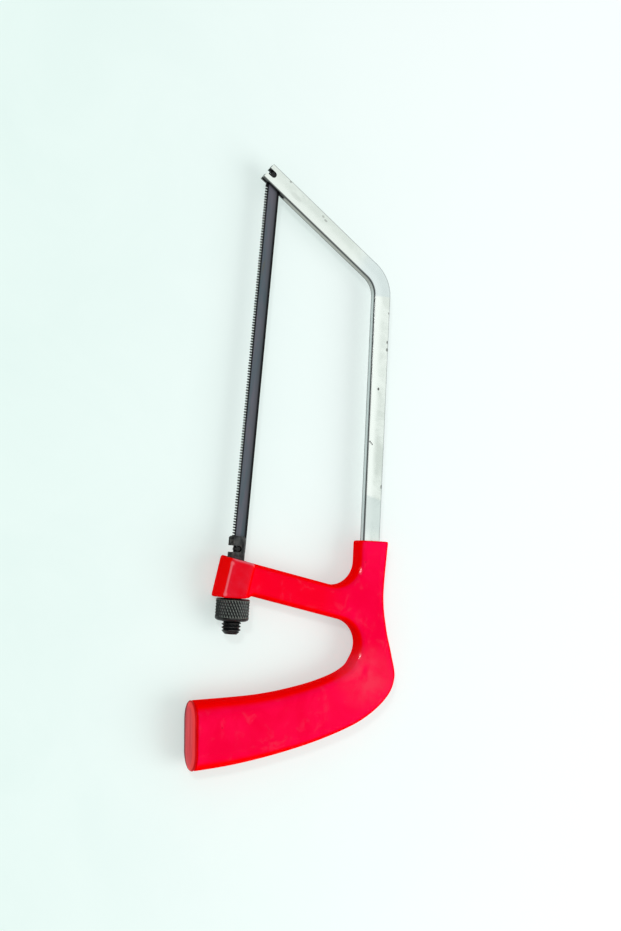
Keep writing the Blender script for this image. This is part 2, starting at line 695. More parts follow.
mark(blade, blade_place, ("from_back", "from_pin"))
blued, tree, shader, place = start_material("blued_steel", Metallic=0.8)
back = attribute(tree, "from_back")
drift = add_node(tree, "ShaderNodeMapping", Vector=place, Scale=(1.0, 6.0, 6.0)).outputs["Vector"]
tint = use_group(tree, blotches, Place=drift, Scale=32.0, Low=0.35, High=0.65)["Mask"]
rust = use_group(tree, blotches, Place=drift, Scale=55.0, Low=0.55, High=0.75)["Mask"]
colour = blend_colour(tree, tint, (0.078, 0.11, 0.128), (0.127, 0.118, 0.144))
colour = stain(tree, colour, rust, (0.108, 0.104, 0.08), strength=0.7)
shaded = ramp(tree, back, BLADE_WIDTH / 2, BACK_BAND, 0.0, 0.5)
colour = stain(tree, colour, shaded, (0.04, 0.044, 0.046))
band = ramp(tree, back, BACK_BAND + BAND_BLUR, BACK_BAND - BAND_BLUR)
colour = stain(tree, colour, band, BARE_STEEL)
tooth_zone = ramp(tree, back, *[gullets - distance for distance in GULLET_SHADE])
colour = stain(tree, colour, tooth_zone, (0.002, 0.002, 0.003))
from_middle = calculate(tree, "SUBTRACT", attribute(tree, "from_pin"), PIN_SPAN / 2)
from_middle = calculate(tree, "ABSOLUTE", from_middle)
end_starts = PIN_SPAN / 2 - DARK_END
dark_end = ramp(tree, from_middle, end_starts, end_starts + END_BLUR)
colour = stain(tree, colour, dark_end, (0.012, 0.012, 0.014))
texture = use_group(tree, grain, Place=drift, Scale=900.0, Base_Roughness=0.42, Spread=0.2)
link_surface(tree, shader, colour, texture["Roughness"], texture["Height"], strength=0.08, depth=0.00004)
fix(blade, "blade", "blade", blued)

# %% [markdown]
# Black oxide and the two pins
#
# Rod, nut and pins are blackened steel: near black, slightly brown where it is rubbed, and only softly
# shiny. Each pin is a short turned peg pressed through the blade, with its rims broken so that it slides
# into its notch.


# %% Black finish, with its own values for each piece
def black_oxide(name, roughness, rub_share, dust_share, flat_share=1.0):
    """Blackened steel, rubbed greyer on its flats and edges, with a little pale dust."""
    material, tree, shader, place = start_material(name, Metallic=0.25, IOR=1.45, Specular_IOR_Level=0.28)
    flatness = ramp(tree, calculate(tree, "ABSOLUTE", facing_up(tree)), 0.75, 1.0)
    cloudy = use_group(tree, blotches, Place=place, Scale=220.0, Low=0.35, High=0.7)["Mask"]
    greyed = calculate(tree, "MULTIPLY", flatness, cloudy)
    colour = stain(tree, (0.007, 0.0075, 0.0078), greyed, (0.062, 0.068, 0.068), flat_share)
    worn = use_group(tree, rubbed, Place=place, Start=0.52, End=0.6, Scale=600.0)["Mask"]
    colour = stain(tree, colour, worn, (0.12, 0.11, 0.1), rub_share)
    dust = use_group(tree, specks, Place=place, Scale=900.0, Size=0.22, Share=dust_share)["Mask"]
    colour = stain(tree, colour, dust, (0.16, 0.155, 0.15), strength=0.25)
    texture = use_group(tree, grain, Place=place, Scale=2200.0, Base_Roughness=roughness, Spread=0.2)
    link_surface(tree, shader, colour, texture["Roughness"], texture["Height"], strength=0.1, depth=0.00005)
    return material


# %% Turn the pins
PIN_LENGTH, PIN_RIM, TURNED_SIDES = 4.0, 0.25, 48


def turned_peg(name, centre):
    """Short peg along Z with broken rims."""
    half = PIN_LENGTH / 2
    profile = ((-half, PIN_RADIUS - PIN_RIM), (PIN_RIM / 3 - half, PIN_RADIUS - PIN_RIM / 3),
               (PIN_RIM - half, PIN_RADIUS), (half - PIN_RIM, PIN_RADIUS),
               (half - PIN_RIM / 3, PIN_RADIUS - PIN_RIM / 3), (half, PIN_RADIUS - PIN_RIM))
    return make_piece(name, *skin_rings(turned_rings(centre, profile, TURNED_SIDES)))


pin_black = black_oxide("pin_steel", roughness=0.5, rub_share=0.25, dust_share=0.05, flat_share=0.12)
for label, centre in (("front", front_pin), ("rear", (0.0, 0.0))):
    pin = turned_peg(f"{label}_blade_pin_turned", centre)
    shade(pin, crease_degrees=50)
    fix(pin, "blade", f"{label}_blade_pin", pin_black)

# %% [markdown]
# The tension rod
#
# The rod is round bar. Its front half has two flats, which stop it turning in the boss, and its tail has a
# rolled thread, whose crests stand proud of the bar. One grid of distance and angle makes it all: a rule
# gives the radius at each grid point, cut down by the flats in front and by a helical groove behind.
# Blender's Screw modifier makes neat threads too, but they then need joining to the plain shank.

# %% Radius of the rod at any point
ROD_RADIUS, ROD_FLAT, ROD_NOSE, ROD_CHAMFER = 3.25, 2.4, 4.9, 0.6
BOSS_TOP, BOSS_LENGTH, NUT_LENGTH, THREAD_SHOWN, FIT_GAP = 3.7, 14.9, 8.6, 4.9, 0.25
THREAD_PITCH, THREAD_LENGTH, CREST_RADIUS, ROOT_RADIUS = 1.27, 17.0, 3.7, 2.95
THREAD_CHAMFER, THREAD_FADE, CREST_PEAK, CREST_STEEPNESS = 1.4, 1.5, 1.2, 2.6

boss_foot = -BOSS_TOP - BOSS_LENGTH
rod_tail = boss_foot - FIT_GAP - NUT_LENGTH - THREAD_SHOWN
flats_end = rod_tail + THREAD_LENGTH


def rod_radius(x, turn):
    """Radius of the rod at a distance along it and an angle round it."""
    if x < flats_end:
        step = (x / THREAD_PITCH - turn / (2 * math.pi)) % 1.0
        crest = min(1.0, max(0.0, CREST_PEAK - abs(step - 0.5) * CREST_STEEPNESS))
        fade = min(1.0, (flats_end - x) / THREAD_FADE)
        radius = ROOT_RADIUS + (CREST_RADIUS - ROOT_RADIUS) * crest
        radius = ROD_RADIUS + (radius - ROD_RADIUS) * fade
        return min(radius, CREST_RADIUS - THREAD_CHAMFER + (x - rod_tail))
    rise = abs(math.sin(turn))
    flat = ROD_FLAT / rise if rise > 0 else ROD_RADIUS
    return min(ROD_RADIUS, flat, ROD_RADIUS - ROD_CHAMFER + (ROD_NOSE - x))


# %% Shape the rod
SIDE_STEPS, FLAT_STEPS, PITCH_STEPS, TAIL_CONE, TAIL_TIP = 8, 12, 14, 0.1, 0.3
SEAT, CUTTER_REACH, END_ROOM = 1.25, 7.0, 1.0
flat_turn = math.asin(ROD_FLAT / ROD_RADIUS)
side_turns = [flat_turn * k / SIDE_STEPS for k in range(-SIDE_STEPS, SIDE_STEPS + 1)]
flat_turns = [flat_turn + (math.pi - 2 * flat_turn) * k / FLAT_STEPS for k in range(1, FLAT_STEPS)]
rod_turns = [turn + half * math.pi for half in (0, 1) for turn in side_turns + flat_turns]
thread_steps = round((flats_end - rod_tail) / THREAD_PITCH * PITCH_STEPS)
rod_places = [rod_tail + (flats_end - rod_tail) * k / thread_steps for k in range(thread_steps)]
rod_places += [flats_end, 0.0, ROD_NOSE - ROD_CHAMFER, ROD_NOSE - ROD_CHAMFER / 3, ROD_NOSE]
rod_rings = [[(x, rod_radius(x, t) * math.cos(t), rod_radius(x, t) * math.sin(t)) for t in rod_turns]
             for x in rod_places]
tail_tip = [(rod_tail - TAIL_CONE, TAIL_TIP * math.cos(t), TAIL_TIP * math.sin(t)) for t in rod_turns]
rod = make_piece("tension_rod_threaded", *skin_rings([tail_tip, *rod_rings]))
rod_slit = box_cutter("rod_slit_cutter", (-BLADE_OVERHANG - END_ROOM, -CUTTER_REACH, -SLIT_WIDTH / 2),
                      (ROD_NOSE + CUTTER_REACH, CUTTER_REACH, SLIT_WIDTH / 2))
rod_notch = box_cutter("rod_notch_cutter", (-SEAT, 0, -CUTTER_REACH), (SEAT, CUTTER_REACH, CUTTER_REACH))
rod_seat = round_cutter("rod_seat_cutter", (0, 0), SEAT, -CUTTER_REACH, CUTTER_REACH)
cut(rod, rod_slit, rod_notch, rod_seat)
shade(rod, crease_degrees=35)
rod_black = black_oxide("rod_black", roughness=0.4, rub_share=0.7, dust_share=0.15)
fix(rod, "rod", "tension_rod", rod_black)

# %% [markdown]
# The knurled nut
#
# Rolling two sets of slanted grooves into the nut leaves a field of small pyramids that fingers can grip.
# The same grid of distance and angle is used, and the lower of the two groove profiles gives the height. A
# bump map would look right from far away, but the outline of the nut would stay smooth.

# %% Radius of the nut at any point
NUT_RADIUS, NUT_BORE = 6.5, 3.9
KNURL_COUNT, KNURL_DEPTH, KNURL_SLANT, KNURL_MARGIN = 36, 0.5, math.radians(27), 0.4
FAINT_GROOVE, KNURL_STEPS, KNURL_ROWS, CONE_STEPS = 0.6, 8, 56, 6
NUT_CONE_RADIAL, NUT_CONE_AXIAL, NUT_TOP_CHAMFER, NUT_RIM = 2.2, 1.3, 0.5, (0.1, 0.35)

nut_top = boss_foot - FIT_GAP
nut_foot = nut_top - NUT_LENGTH
knurl_low, knurl_high = nut_foot + NUT_CONE_AXIAL, nut_top - NUT_TOP_CHAMFER
grooves_per_mm = KNURL_COUNT / (2 * math.pi * NUT_RADIUS) * math.tan(KNURL_SLANT)


def knurl(x, turn):
    """Height of the knurl from 0 in a groove to 1 on a pyramid's top; one set of grooves is the deeper."""
    round_place = KNURL_COUNT * turn / (2 * math.pi)
    grooves = [1 - abs(2 * ((round_place + side * x * grooves_per_mm) % 1.0) - 1) for side in (-1, 1)]
    fade = min(1.0, (x - knurl_low) / KNURL_MARGIN, (knurl_high - x) / KNURL_MARGIN)
    return 1 - max(FAINT_GROOVE * grooves[0], grooves[1]) * max(0.0, fade)


# %% Shape the nut
SAME_PLACE = 1e-7
nut_turns = full_turn(KNURL_COUNT * KNURL_STEPS)
nut_profile = [(nut_foot, NUT_BORE, 0.0)]
for k in range(CONE_STEPS):
    swing = math.pi / 2 * k / CONE_STEPS
    nut_profile.append((nut_foot + NUT_CONE_AXIAL * (1 - math.cos(swing)),
                        NUT_RADIUS - NUT_CONE_RADIAL * (1 - math.sin(swing)), 0.0))
nut_profile += [(knurl_low + (knurl_high - knurl_low) * k / KNURL_ROWS, NUT_RADIUS, 1.0)
                for k in range(KNURL_ROWS + 1)]
nut_profile += [(nut_top - NUT_RIM[0], NUT_RADIUS - NUT_RIM[1], 0.0),
                (nut_top, NUT_RADIUS - NUT_TOP_CHAMFER, 0.0), (nut_top, NUT_BORE, 0.0)]
nut_rings = [
    [(x, r * math.cos(t), r * math.sin(t)) for t in nut_turns
     for r in [radius - knurled * KNURL_DEPTH * (1 - knurl(x, t))]]
    for x, radius, knurled in nut_profile
]
nut_points, nut_faces = skin_rings(nut_rings + [nut_rings[0]])
nut = make_piece("knurled_nut_cut", nut_points, nut_faces[1:-1])
nut_mesh = bmesh.new()
nut_mesh.from_mesh(nut.data)
bmesh.ops.remove_doubles(nut_mesh, verts=nut_mesh.verts, dist=SAME_PLACE)
nut_mesh.to_mesh(nut.data)
nut_mesh.free()
shade(nut, crease_degrees=30)

# %% [markdown]
# Bare tips on the knurl
#
# Fingers polish the tips of the pyramids first, while oil and dirt stay in the grooves. So the nut's points
# remember how high they stand, and the black finish is blended to a greyer one on the tips. The rest of the
# finish is the same as on the rod.


# %% Nut finish
def knurl_height(x, y, z):
    """How far a point of the nut stands up out of its grooves, and how far it faces up or down."""
    rise = (math.hypot(y, z) - NUT_RADIUS) / KNURL_DEPTH + 1
    return max(0.0, rise) if knurl_low < x < knurl_high else 0.0, abs(z) / NUT_RADIUS


mark(nut, knurl_height, ("knurl_height", "nut_facing"))
nut_black = black_oxide("nut_black", roughness=0.42, rub_share=0.3, dust_share=0.2)
tree = nut_black.node_tree
shader = tree.nodes["Principled BSDF"]
oxide = shader.inputs["Base Color"].links[0].from_socket
tips = ramp(tree, attribute(tree, "knurl_height"), 0.4, 0.95)
tips = calculate(tree, "MULTIPLY", tips, ramp(tree, attribute(tree, "nut_facing"), 0.3, 0.9, 0.3, 1.0))
tree.links.new(blend_colour(tree, tips, oxide, (0.2, 0.225, 0.2)), shader.inputs["Base Color"])
fix(nut, "nut", "knurled_nut", nut_black)

# %% [markdown]
# The handle's outline
#
# The handle is one red moulding: a neck round the bar, a bridge arm to the boss, and a grip that curls back
# under the fingers. Its outline is drawn as lines, two arcs and two smooth curves through a few points, as
# on a pattern-maker's drawing. Tracing a picture with a Blender curve would give the same line with far
# more points to keep tidy.


# %% Curves of the outline
FILLET_STEPS, LOOP_STEPS, CURVE_STEPS = 24, 40, 14


def arc(centre, radius, start, end, steps):
    """Points on an arc from one angle to another."""
    return [centre + radius * unit(start + (end - start) * k / steps) for k in range(steps + 1)]


def smooth_curve(points):
    """Points on a smooth curve that passes through all the given ones."""
    padded = [points[0], *points, points[-1]]
    line = []
    for a, b, c, d in zip(padded, padded[1:], padded[2:], padded[3:]):
        for k in range(CURVE_STEPS):
            t = k / CURVE_STEPS
            pull_b, pull_c = (c - a) / 2, (d - b) / 2
            line.append((2 * b - 2 * c + pull_b + pull_c) * t ** 3
                        + (3 * c - 3 * b - 2 * pull_b - pull_c) * t ** 2 + pull_b * t + b)
    return line + [points[-1]]


# %% Draw the outline
NECK_INNER_WALL, NECK_OUTER_WALL, ARM_WIDTH, ARM_FILLET = 2.6, 3.6, 12.2, 9.5
ARM_DROOP, BOSS_STEP, BOSS_INSIDE, FOOT_REACH, FOOT_BLEND = math.radians(10.6), 0.1, 2.0, 5.6, 6.6
LOOP_RADIUS, LOOP_BACK, LOOP_TURN = 9.6, 51.7, math.radians(60)
BUTT_UPPER, BUTT_LOWER = np.array((-57.65, 13.3)), np.array((-83.95, 11.5))
GRIP_FRONT = np.array(((-42.4, -48.1), (-46.3, -41.8), (-50.6, -29.8), (-54.65, -12)))
GRIP_BACK = np.array(((-81.15, -4.5), (-76.6, -22.3), (-70.35, -40.6), (-63.05, -55.8), (-54.3, -65.65),
                      (-46, -68.8), (-37, -66.8), (-27, -63.9), (-14, -61.8)))
RUN_PAST = 15.0

arm_along = np.array((math.sin(ARM_DROOP), math.cos(ARM_DROOP)))
arm_top = np.array((-BOSS_TOP - BOSS_STEP, 0.0))
arm_foot = np.array((arm_top[0] - ARM_WIDTH / math.cos(ARM_DROOP), 0.0))
loop_centre = np.array((
    arm_foot[0] + (LOOP_RADIUS - LOOP_BACK) * math.tan(ARM_DROOP) - LOOP_RADIUS / math.cos(ARM_DROOP),
    LOOP_RADIUS - LOOP_BACK,
))
butt_middle = (BUTT_UPPER + BUTT_LOWER) / 2
butt_height = float(np.linalg.norm(BUTT_UPPER - BUTT_LOWER))
butt_along = (BUTT_UPPER - BUTT_LOWER) / butt_height
butt_out = left_of(butt_along)


def handle_outline():
    """Closed outline, run past the neck's mouth and the butt, where it is cut square later."""
    inner = neck_mouth + bar_along * RUN_PAST + bar_left * (BAR_WIDTH / 2 + NECK_INNER_WALL)
    outer = neck_mouth + bar_along * RUN_PAST - bar_left * (BAR_WIDTH / 2 + NECK_OUTER_WALL)
    root = crossing(inner, bar_along, arm_top, arm_along)
    fillet_run = ARM_FILLET * math.tan((math.pi / 2 + ARM_DROOP + BAR_LEAN) / 2)
    fillet_centre = root + bar_along * fillet_run + bar_left * ARM_FILLET
    arm_end = arm_top + arm_along * BOSS_INSIDE
    foot_end = np.array((boss_foot + BOSS_STEP, arm_end[1]))
    foot_root = np.array((boss_foot + BOSS_STEP, -FOOT_REACH))
    arm_start = arm_foot - arm_along * FOOT_BLEND
    loop = arc(loop_centre, LOOP_RADIUS, -ARM_DROOP, LOOP_TURN - math.pi, LOOP_STEPS)
    front = smooth_curve([loop[-1], *GRIP_FRONT, BUTT_UPPER])
    back = smooth_curve([BUTT_LOWER, *GRIP_BACK, outer - bar_along * RUN_PAST])
    past = [BUTT_UPPER + butt_out * RUN_PAST, BUTT_LOWER + butt_out * RUN_PAST]
    fillet = arc(fillet_centre, ARM_FILLET, BAR_LEAN - math.pi / 2, -ARM_DROOP - math.pi, FILLET_STEPS)
    boss_side = [arm_end, foot_end, foot_root, arm_start]
    return np.array([outer, inner, *fillet, *boss_side, *loop[1:], *front[1:], *past, *back])


print("handle outline has", len(handle_outline()), "points")

# %% [markdown]
# From outline to moulding
#
# The outline becomes a slab whose edges roll over in a quarter circle. It is thin at the neck and arm and
# swells towards the butt. Its two lids are sliced into strips, because one huge face over a swelling shape
# folds along a diagonal. The boss is a block with bevelled edges, softest at its upper end, that is simply
# pushed in. Remesh in voxel mode then melts the two into one skin, and Smooth softens the inner corners.
# That is how a moulding looks, and it would be very hard to build face by face.

# %% Slab and boss
NECK_THICKNESS, BUTT_THICKNESS, NECK_ROUNDING, BUTT_ROUNDING, EDGE_BAND = 9.0, 14.6, 3.0, 7.5, 0.5
BOSS_WIDTH, BOSS_THICKNESS, BOSS_TILT, BOSS_WALL, SLIDE_GAP = 10.2, 16.0, math.radians(10), 0.5, 0.2
SOFT_ROUNDING, BEVEL_SEGMENTS = 3.0, 6
# Rounding of single edges of the boss, by the numbers of their two corners
BOSS_EDGES = {(4, 7): 0.75, (5, 6): 0.5, (2, 3): 1.0, (6, 7): 1.0, (0, 4): 0.2}
CRISP_SHARE, UPPER_DRAFT = 0.24, 0.7
ROLL_STEPS, SLICE_STEP = 8, 2.0


def grip_share(point):
    """0 at the neck, arm and loop, rising to 1 at the butt."""
    share = (point[1] + LOOP_BACK) / (BUTT_UPPER[1] + LOOP_BACK)
    return min(1.0, max(0.0, share)) if point[0] < loop_centre[0] else 0.0


def slab_rings():
    """Rings of the rolled edge, from the lower face to the upper."""
    line = handle_outline()
    ahead = np.roll(line, -1, axis=0) - np.roll(line, 1, axis=0)
    inward = np.column_stack((-ahead[:, 1], ahead[:, 0])) / np.linalg.norm(ahead, axis=1)[:, None]
    shares = np.array([grip_share(point) for point in line])
    half = (NECK_THICKNESS + (BUTT_THICKNESS - NECK_THICKNESS) * shares) / 2
    radius = NECK_ROUNDING + (BUTT_ROUNDING - NECK_ROUNDING) * shares
    rise = np.minimum(radius, half - EDGE_BAND)
    rings = []
    for side, steps in ((-1, range(ROLL_STEPS, -1, -1)), (1, range(ROLL_STEPS + 1))):
        for k in steps:
            turn = math.pi / 2 * k / ROLL_STEPS
            flat = line + inward * (radius * (1 - math.cos(turn)))[:, None]
            height = side * (half - rise + rise * math.sin(turn))
            rings.append([(x, y, z) for (x, y), z in zip(flat, height)])
    return rings


def boss_corners():
    """Corners of the boss in plan: upper and lower on the teeth's side, lower and upper on the arm's."""
    side = unit(-BOSS_TILT)
    edge = np.array((-BOSS_TOP, BOSS_WALL + ROD_RADIUS + SLIDE_GAP))
    far = edge + np.array((side[1], -side[0])) * BOSS_WIDTH
    top, foot, level = np.array((-BOSS_TOP, 0.0)), np.array((boss_foot, 0.0)), np.array((0.0, 1.0))
    return [crossing(edge, side, top, arm_along), crossing(edge, side, foot, level),
            crossing(far, side, foot, level), crossing(far, side, top, arm_along)]


def boss_block():
    """Block with bevelled edges in which the rod slides."""
    rings = []
    for side in (-1, 1):
        upper_left, lower_left, lower_right, upper_right = boss_corners()
        draft = unit(-BOSS_TILT) * UPPER_DRAFT * side
        plan = (upper_left - draft, lower_left, lower_right, upper_right - draft)
        rings.append([(x, y, side * BOSS_THICKNESS / 2) for x, y in plan])
    block = make_piece("boss_block", *skin_rings(rings))
    weights = [BOSS_EDGES.get(tuple(sorted(edge.vertices)), CRISP_SHARE) for edge in block.data.edges]
    layer = block.data.attributes.new("bevel_weight_edge", "FLOAT", "EDGE")
    layer.data.foreach_set("value", weights)
    bevel = block.modifiers.new("rounding", "BEVEL")
    bevel.limit_method = "WEIGHT"
    bevel.width = SOFT_ROUNDING * MILLIMETRE
    bevel.segments = BEVEL_SEGMENTS
    settle(block)
    return block


def split(mesh, point, normal, clear_outer):
    """Split a bmesh at a drawing plane, and keep or clear what lies beyond it."""
    return bmesh.ops.bisect_plane(
        mesh, geom=mesh.verts[:] + mesh.edges[:] + mesh.faces[:], dist=SAME_PLACE,
        plane_co=at(*point), plane_no=(*normal, 0.0), clear_outer=clear_outer,
    )


def slice_slab(mesh):
    """Cut a bmesh into strips across the grip, so that its lids follow the swelling."""
    for step in range(round((RUN_PAST + LOOP_BACK + BUTT_UPPER[1]) / SLICE_STEP)):
        split(mesh, (0, step * SLICE_STEP - LOOP_BACK - NECK_ROUNDING), (0.0, 1.0), False)


def plane_cut(mesh, point, normal):
    """Cut a bmesh square at a drawing plane and close the opening."""
    found = split(mesh, point, normal, True)
    edges = [item for item in found["geom_cut"] if isinstance(item, bmesh.types.BMEdge)]
    bmesh.ops.edgeloop_fill(mesh, edges=edges)


# %% Melt them into one moulding
VOXEL, SMOOTHING, SMOOTH_SHARE = 0.45, 8, 0.5
handle = make_piece("handle_moulding", *skin_rings(slab_rings()))
moulding = bmesh.new()
moulding.from_mesh(handle.data)
slice_slab(moulding)
plane_cut(moulding, neck_mouth, bar_along)
plane_cut(moulding, butt_middle, butt_out)
block = boss_block()
moulding.from_mesh(block.data)
bmesh.ops.recalc_face_normals(moulding, faces=moulding.faces)
moulding.to_mesh(handle.data)
moulding.free()
bpy.data.objects.remove(block)
melt = handle.modifiers.new("melt", "REMESH")
melt.mode = "VOXEL"
melt.voxel_size = VOXEL * MILLIMETRE
soften = handle.modifiers.new("soften", "SMOOTH")
soften.factor = SMOOTH_SHARE
soften.iterations = SMOOTHING
settle(handle)
print("moulding has", len(handle.data.polygons), "faces")

# %% [markdown]
# Holes in the moulding
#
# The rod needs a hole through the boss, the bar a socket in the neck, and the end cap an opening in the
# butt. The rod's hole is round behind, where the thread runs, and flat-sided in front, which is what stops
# the rod from turning with the nut. All are cut last, so that their rims stay crisp. Cutting before the
# remesh would melt them too.

# %% Cut the holes
CORE_WALL, PLUG_DEPTH, CUT_PAST, RELEASE_TURNS, CORE_STEPS = 2.6, 8.0, 5.0, 3, 10
RELEASE_TRAVEL = RELEASE_TURNS * THREAD_PITCH
thread_room = flats_end + RELEASE_TRAVEL + FIT_GAP
thread_hole, flat_hole = (CREST_RADIUS, CREST_RADIUS), (ROD_RADIUS, ROD_FLAT)
hole_profile = ((boss_foot - CUT_PAST, *thread_hole), (thread_room, *thread_hole), (thread_room, *flat_hole),
                (CUT_PAST, *flat_hole))


def hole_ring(x, radius, rise):
    """Section of the rod's hole with its sliding gap: a circle, cut flat above and below at the rise."""
    room, limit = radius + SLIDE_GAP, rise + SLIDE_GAP
    return [(x, room * math.cos(turn), max(-limit, min(limit, room * math.sin(turn))))
            for turn in full_turn(TURNED_SIDES)]


rod_hole = make_piece("rod_hole_cutter", *skin_rings([hole_ring(*section) for section in hole_profile]))
socket_half, socket_rise = BAR_WIDTH / 2 + FIT_GAP, BAR_THICKNESS / 2 + FIT_GAP
socket = box_cutter("socket_cutter", (-TANG_LENGTH - FIT_GAP, -socket_half, -socket_rise),
                    (CUT_PAST, socket_half, socket_rise), BAR_LEAN, neck_mouth)


def butt_place(up, out, z):
    """Drawing point from a place in the butt's own frame."""
    x, y = butt_middle + butt_along * up + butt_out * out
    return (x, y, z)


def butt_oval(out, inset, steps):
    """Oval of the butt, drawn smaller by the inset, at a distance out of it."""
    rise = min(BUTT_ROUNDING, BUTT_THICKNESS / 2 - EDGE_BAND)
    straight = (butt_height / 2 - BUTT_ROUNDING, BUTT_THICKNESS / 2 - rise)
    corner = (BUTT_ROUNDING - inset, rise - inset)
    return [butt_place(up, out, z) for up, z in rounded_section(straight, corner, steps)]


core_rings = [butt_oval(out, CORE_WALL, CORE_STEPS) for out in (CUT_PAST, -PLUG_DEPTH)]
core = make_piece("core_cutter", *skin_rings(core_rings))
cut(handle, rod_hole, socket, core)
shade(handle, crease_degrees=50)
print("with its holes the moulding has", len(handle.data.polygons), "faces")

# %% [markdown]
# Where hands and the bench have rubbed
#
# The boss is the thickest place, so it touches the bench first: its long edge and its upper end have gone
# pale, and its side is hazy. The palm has dulled the heel to a paler red, while the arm, which nobody holds,
# has kept its warmer colour. Each point of the moulding remembers how near it is to those places. Weight
# painting could mark them as well, but a rule is easier to repeat.

# %% Mark the rubbed places
EDGE_CREST, EDGE_REACH, HEEL_PLACE, HEEL_REACH = 0.3, 0.75, np.array((-46.0, -55.0)), 15.0
ARM_START, ARM_BLEND, BOSS_MIDDLE, BOSS_REACH = -47.0, 12.0, np.array((-12.1, -2.4)), 14.0
EDGE_PAST_TOP, EDGE_PAST_FOOT, END_BLOB = 2.6, 1.4, 1.4
END_INSETS, END_DROP, END_REACH = (2.0, 1.0), 0.9, 3.2 * EDGE_REACH


def near_segment(point, start, end):
    """Distance of a point from a straight stretch."""
    run = end - start
    share = min(1.0, max(0.0, float((point - start) @ run) / float(run @ run)))
    return float(np.linalg.norm(point - start - run * share))


upper_left, lower_left, _, upper_right = boss_corners()
boss_top_line, boss_run = BOSS_THICKNESS / 2 - EDGE_CREST, unit(-BOSS_TILT)
edge_start = np.array((*(upper_left - boss_run * EDGE_PAST_TOP - (0, EDGE_CREST)), boss_top_line))
edge_end = np.array((*(lower_left + boss_run * EDGE_PAST_FOOT - (0, EDGE_CREST)), boss_top_line))
end_start, end_stop = (np.array((*(corner - arm_along * inset), boss_top_line - END_DROP))
                       for corner, inset in zip((upper_left, upper_right), END_INSETS))


def rubbed_places(x, y, z):
    """Shares of a moulding point in the boss's edge, upper end and side, the palm's heel and the arm."""
    point = np.array((x, y, abs(z)))
    line = 1 - near_segment(point, edge_start, edge_end) / EDGE_REACH
    blob = 1 - min(float(np.linalg.norm(point - end)) for end in (edge_start, edge_end)) / END_BLOB
    upper_end = 1 - near_segment(point, end_start, end_stop) / END_REACH
    on_boss = float(np.linalg.norm(point[:2] - BOSS_MIDDLE)) < BOSS_REACH
    boss_side = (2 * abs(z) - NECK_THICKNESS) / (BOSS_THICKNESS - NECK_THICKNESS) if on_boss else 0.0
    heel = 1 - float(np.linalg.norm(point[:2] - HEEL_PLACE)) / HEEL_REACH
    arm = min(1.0, (y - ARM_START) / ARM_BLEND) if x > loop_centre[0] else 0.0
    return [max(0.0, share) for share in (max(line, blob), upper_end, boss_side, heel, arm)]


mark(handle, rubbed_places, ("boss_edge", "boss_end", "boss_side", "heel", "arm"))
print("boss edge from", edge_start.round(2), "to", edge_end.round(2))

# %% [markdown]
# Glossy red plastic
#
# The plastic is a saturated red whose flat faces look crimson because they mirror a pale room, while the
# rolled edges stay pure red. A strong base reflection would give that too, but it would wash the red out to
# pink at a low angle. So two reds are blended by the way that the surface faces, and the gloss is a very
# thin coat. Cloudy changes and a slight ripple keep it from looking like glass, and handling has left a
# faint, patchy film on the flat faces. Two small places on the inner edge have been polished by fingers. The
# coat is almost full there, so that a lamp shows in them as a glint.

# %% Red finish
POLISHED, POLISH_REACH = ((-5.0, -50.4), (-38.1, -52.4)), (1.9, 0.75)
THIN_COAT, POLISH_COAT = 0.02, 0.9
red, tree, shader, place = start_material("red_moulding", IOR=1.45, Specular_IOR_Level=0.0,
                                          Coat_Roughness=0.15)
flatness = ramp(tree, calculate(tree, "ABSOLUTE", facing_up(tree)), 0.74, 0.96)
cloudy = use_group(tree, blotches, Place=place, Scale=55.0, Low=0.35, High=0.7)["Mask"]
flats = blend_colour(tree, cloudy, (0.88, 0.0, 0.039), (0.93, 0.002, 0.057))
flats = stain(tree, flats, attribute(tree, "arm"), (0.9, 0.0, 0.011), strength=0.8)
rolled = blend_colour(tree, cloudy, (0.96, 0.0, 0.0), (1.0, 0.0, 0.002))
colour = blend_colour(tree, flatness, rolled, flats)
film = use_group(tree, blotches, Place=place, Scale=190.0, Low=0.54, High=0.72)["Mask"]
film = calculate(tree, "MULTIPLY", film, flatness)
colour = stain(tree, colour, film, (0.83, 0.035, 0.08), strength=0.4)
hazy = use_group(tree, blotches, Place=place, Scale=90.0, Low=0.3, High=0.62)["Mask"]
heel = calculate(tree, "MULTIPLY", ramp(tree, attribute(tree, "heel"), 0.0, 0.8), hazy)
colour = stain(tree, colour, heel, (0.86, 0.035, 0.08), strength=0.8)
end_haze = ramp(tree, attribute(tree, "boss_end"), 0.1, 0.8)
colour = stain(tree, colour, end_haze, (0.75, 0.22, 0.3), strength=0.75)
boss_side = ramp(tree, attribute(tree, "boss_side"), 0.6, 1.0)
colour = stain(tree, colour, boss_side, (0.7, 0.002, 0.01), strength=0.85)
side_haze = calculate(tree, "MULTIPLY", boss_side, hazy)
colour = stain(tree, colour, side_haze, (0.68, 0.028, 0.06), strength=0.5)
pale_edge = ramp(tree, attribute(tree, "boss_edge"), 0.1, 0.75)
colour = stain(tree, colour, pale_edge, (0.95, 0.14, 0.17))
spot = use_group(tree, specks, Place=place, Scale=260.0, Size=0.07, Share=0.05)["Mask"]
colour = stain(tree, colour, spot, (0.35, 0.0, 0.01), strength=0.4)
gloss = THIN_COAT
for x, y in POLISHED:
    patch = ellipse_mask(tree, place, at(x, y)[:2], [reach * MILLIMETRE for reach in POLISH_REACH])
    gloss = calculate(tree, "MULTIPLY_ADD", patch, POLISH_COAT, gloss)
tree.links.new(gloss, shader.inputs["Coat Weight"])
texture = use_group(tree, grain, Place=place, Scale=1500.0, Base_Roughness=0.24, Spread=0.14)
ripple = add_node(tree, "ShaderNodeTexNoise", Vector=place, Scale=140.0, Detail=2.0).outputs["Fac"]
